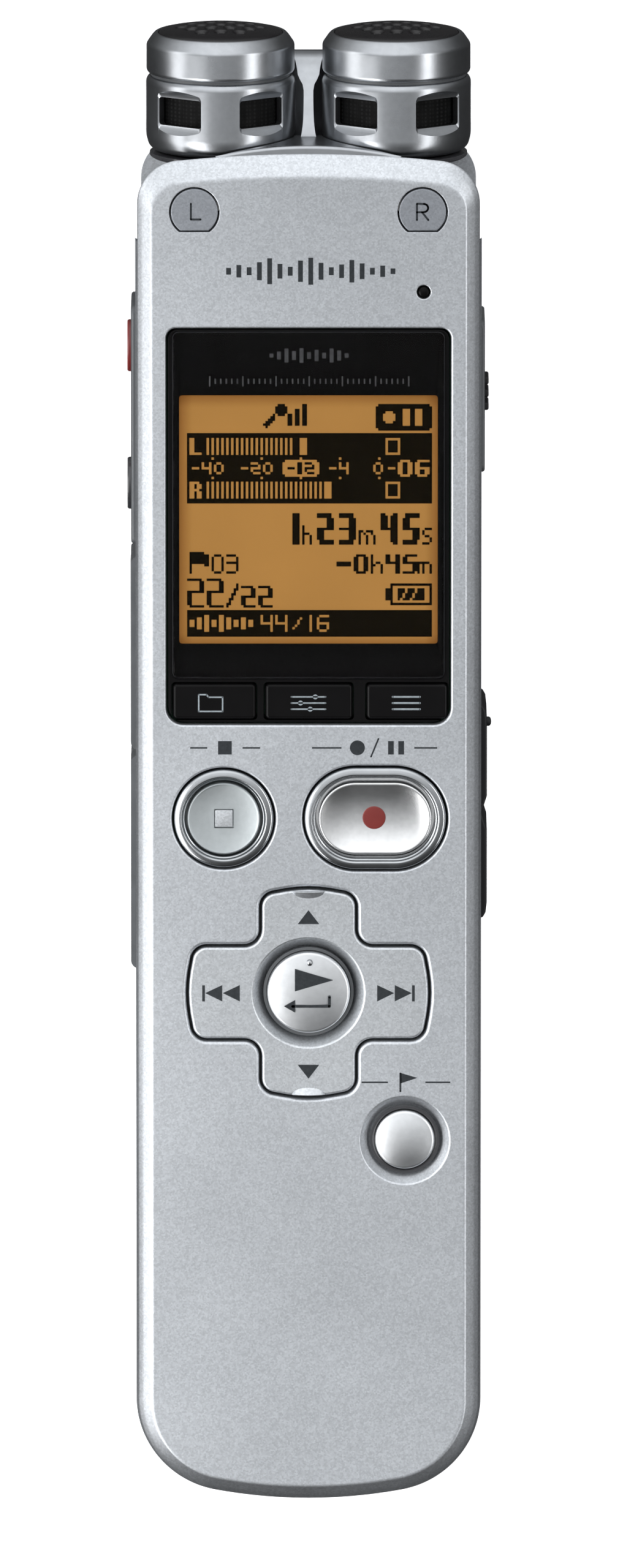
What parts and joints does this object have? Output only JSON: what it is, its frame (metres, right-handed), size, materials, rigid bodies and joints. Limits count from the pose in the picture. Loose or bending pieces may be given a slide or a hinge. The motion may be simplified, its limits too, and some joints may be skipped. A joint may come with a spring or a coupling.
{
  "type": "portable field recorder",
  "caption": "Slim hand-held digital audio recorder with two swivelling microphone heads, amber display, transport keys, side jacks, covers and a sliding battery door.",
  "frame": {"origin": "on the surface that the back rests on, under the middle of the recorder", "axes": "+Z out of the display, +Y towards the microphone heads, +X to the right of someone reading the display"},
  "size_m": [0.032, 0.131, 0.0163],
  "materials": {
    "silver_paint": "fine metallic flake, satin",
    "silver_key": "satin metallic",
    "satin_metal": "blasted satin",
    "bright_trim": "polished",
    "black_gloss": "polished black",
    "black_matte": "fine grain",
    "dark_grey": "satin",
    "lcd_amber": "backlit amber glass",
    "window_clear": "polished clear with black border",
    "lamp_lens": "satin translucent",
    "red_ring": "moulded red",
    "steel": "plated",
    "board_green": "solder mask",
    "cell_sleeve": "printed sleeve",
    "grille_black": "satin black"
  },
  "bodies": {
    "recorder": {"front_cover": "silver_paint", "rear_cover": "silver_paint", "mic_bridge": "bright_trim", "display_frame": "black_gloss", "display_window": "window_clear", "lcd_module": "lcd_amber", "stop_ring": "bright_trim", "record_ring": "bright_trim", "peak_lamp_left": "lamp_lens", "peak_lamp_right": "lamp_lens", "operation_lamp": "black_gloss", "jack_panel": "dark_grey", "mic_jack": "red_ring", "headphone_jack": "black_matte", "card_socket": "steel", "usb_socket": "steel", "hold_switch_plate": "dark_grey", "rocker_pin": "steel", "main_board": "board_green", "key_contact_sheet": "dark_grey", "speaker": "steel", "battery_left": "cell_sleeve", "battery_right": "cell_sleeve", "battery_spring_left": "steel", "battery_spring_right": "steel", "battery_contact_left": "steel", "battery_contact_right": "steel", "case_screw_1": "steel", "case_screw_2": "steel", "case_screw_3": "steel", "case_screw_4": "steel", "pivot_pin_left": "steel", "pivot_pin_right": "steel"},
    "left_head": {"head_base_left": "black_matte", "head_body_left": "satin_metal", "head_cap_left": "satin_metal", "head_grille_left": "grille_black", "head_mesh_left": "black_matte", "mic_capsule_left": "steel"},
    "right_head": {"head_base_right": "black_matte", "head_body_right": "satin_metal", "head_cap_right": "satin_metal", "head_grille_right": "grille_black", "head_mesh_right": "black_matte", "mic_capsule_right": "steel"},
    "battery_door": {"battery_door": "silver_paint"},
    "usb_door": {"usb_door": "dark_grey"},
    "card_door": {"card_door": "dark_grey"},
    "hold_switch": {"hold_switch": "black_matte"},
    "volume_rocker": {"volume_rocker": "black_gloss"},
    "folder_button": {"folder_button": "black_gloss"},
    "mode_button": {"mode_button": "black_gloss"},
    "menu_button": {"menu_button": "black_gloss"},
    "stop_button": {"stop_button": "silver_key"},
    "record_button": {"record_button": "bright_trim"},
    "play_button": {"play_button": "satin_metal"},
    "track_mark_button": {"track_mark_button": "satin_metal"},
    "control_key_pivot": {"control_key_pivot": "dark_grey"},
    "control_key": {"control_key": "silver_paint"}
  },
  "joints": [
    {"name": "left_head_swing", "type": "hinge", "parent": "recorder", "child": "left_head", "pos_m": [-0.00772, 0.0511, 0.00805], "axis": [0, 0, 1], "range_deg": [0, 60]},
    {"name": "right_head_swing", "type": "hinge", "parent": "recorder", "child": "right_head", "pos_m": [0.00772, 0.0511, 0.00805], "axis": [0, 0, -1], "range_deg": [0, 60]},
    {"name": "battery_door_slide", "type": "slide", "parent": "recorder", "child": "battery_door", "axis": [0, -1, 0], "range_m": [0, 0.054]},
    {"name": "usb_door_swing", "type": "hinge", "parent": "recorder", "child": "usb_door", "pos_m": [-0.01495, 0.0022, 0.008], "axis": [0, 0, 1], "range_deg": [0, 100]},
    {"name": "card_door_swing", "type": "hinge", "parent": "recorder", "child": "card_door", "pos_m": [-0.01495, -0.01744, 0.008], "axis": [0, 0, 1], "range_deg": [0, 100]},
    {"name": "hold_switch_slide", "type": "slide", "parent": "recorder", "child": "hold_switch", "axis": [0, 1, 0], "range_m": [-0.0015, 0.0015]},
    {"name": "volume_rock", "type": "hinge", "parent": "recorder", "child": "volume_rocker", "pos_m": [0.013, -0.00405, 0.008], "axis": [0, 0, 1], "range_deg": [-1.5, 1.5], "stiffness_Nm_per_rad": 0.02},
    {"name": "control_key_up_down", "type": "hinge", "parent": "recorder", "child": "control_key_pivot", "pos_m": [0, -0.01957, 0.014], "axis": [1, 0, 0], "range_deg": [-1.5, 1.5], "stiffness_Nm_per_rad": 0.02},
    {"name": "control_key_left_right", "type": "hinge", "parent": "control_key_pivot", "child": "control_key", "pos_m": [0, -0.01957, 0.014], "axis": [0, 1, 0], "range_deg": [-1.5, 1.5], "stiffness_Nm_per_rad": 0.02},
    {"name": "folder_press", "type": "slide", "parent": "recorder", "child": "folder_button", "axis": [0, 0, -1], "range_m": [0, 0.00025], "stiffness_N_per_m": 200},
    {"name": "mode_press", "type": "slide", "parent": "recorder", "child": "mode_button", "axis": [0, 0, -1], "range_m": [0, 0.00025], "stiffness_N_per_m": 200},
    {"name": "menu_press", "type": "slide", "parent": "recorder", "child": "menu_button", "axis": [0, 0, -1], "range_m": [0, 0.00025], "stiffness_N_per_m": 200},
    {"name": "stop_press", "type": "slide", "parent": "recorder", "child": "stop_button", "axis": [0, 0, -1], "range_m": [0, 0.00025], "stiffness_N_per_m": 200},
    {"name": "record_press", "type": "slide", "parent": "recorder", "child": "record_button", "axis": [0, 0, -1], "range_m": [0, 0.00025], "stiffness_N_per_m": 200},
    {"name": "play_press", "type": "slide", "parent": "recorder", "child": "play_button", "axis": [0, 0, -1], "range_m": [0, 0.00025], "stiffness_N_per_m": 200},
    {"name": "track_mark_press", "type": "slide", "parent": "recorder", "child": "track_mark_button", "axis": [0, 0, -1], "range_m": [0, 0.00025], "stiffness_N_per_m": 200}
  ]
}
